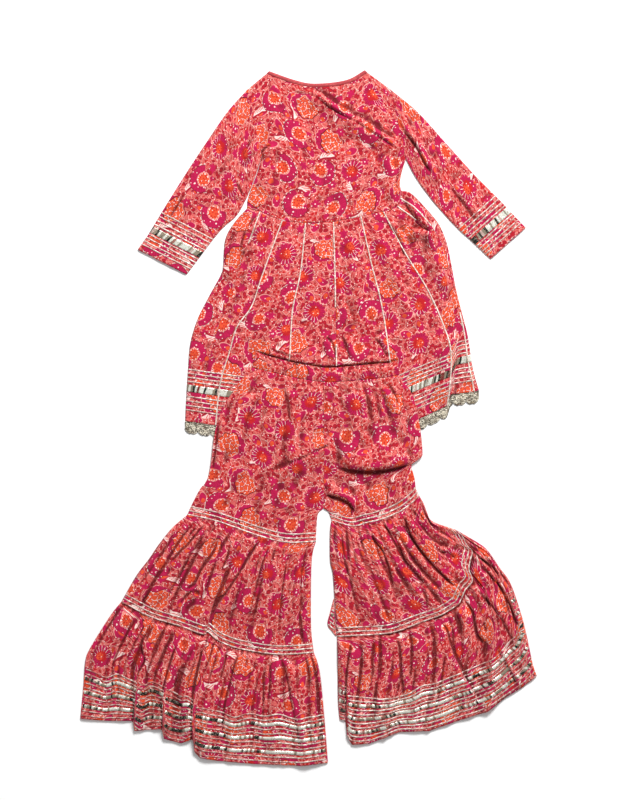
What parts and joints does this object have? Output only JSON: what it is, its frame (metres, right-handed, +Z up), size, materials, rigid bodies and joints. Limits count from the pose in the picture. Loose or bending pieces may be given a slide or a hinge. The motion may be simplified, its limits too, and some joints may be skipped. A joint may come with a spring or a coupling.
{
  "type": "kurta and sharara set",
  "caption": "Girl's printed cotton kurta with a seamed flared skirt and a tiered sharara, laid flat as a set, with silver ribbon trim.",
  "frame": {"origin": "centre of the set's outline, on the surface it lies on", "axes": "+Y from the hem towards the neck, +Z up from the surface, +X to the right of somebody who looks down at the front"},
  "size_m": [0.914, 1.3918, 0.0201],
  "materials": {
    "printed_cotton": "matt printed plain-weave cotton",
    "plain_binding": "matt cotton, cut on the bias",
    "silver_gota": "shiny woven metallic ribbon",
    "metallic_lace": "metallic thread lace"
  },
  "bodies": {
    "root": {"bodice_front": "printed_cotton", "bodice_back": "printed_cotton", "neck_binding": "plain_binding", "sleeve_left": "printed_cotton", "sleeve_right": "printed_cotton", "skirt_panel_1": "printed_cotton", "skirt_panel_2": "printed_cotton", "skirt_panel_3": "printed_cotton", "skirt_panel_4": "printed_cotton", "skirt_panel_5": "printed_cotton", "skirt_panel_6": "printed_cotton", "skirt_panel_7": "printed_cotton", "skirt_panel_8": "printed_cotton", "skirt_panel_9": "printed_cotton", "skirt_back": "printed_cotton", "cuff_gota_left": "silver_gota", "cuff_gota_right": "silver_gota", "hem_gota": "silver_gota", "hem_lace_front": "metallic_lace", "hem_lace_back": "metallic_lace", "waistband": "printed_cotton", "yoke_front_left": "printed_cotton", "yoke_front_right": "printed_cotton", "yoke_back_left": "printed_cotton", "yoke_back_right": "printed_cotton", "middle_tier_left": "printed_cotton", "middle_tier_right": "printed_cotton", "hem_tier_left": "printed_cotton", "hem_tier_right": "printed_cotton", "back_hem_corner": "printed_cotton"}
  },
  "joints": []
}
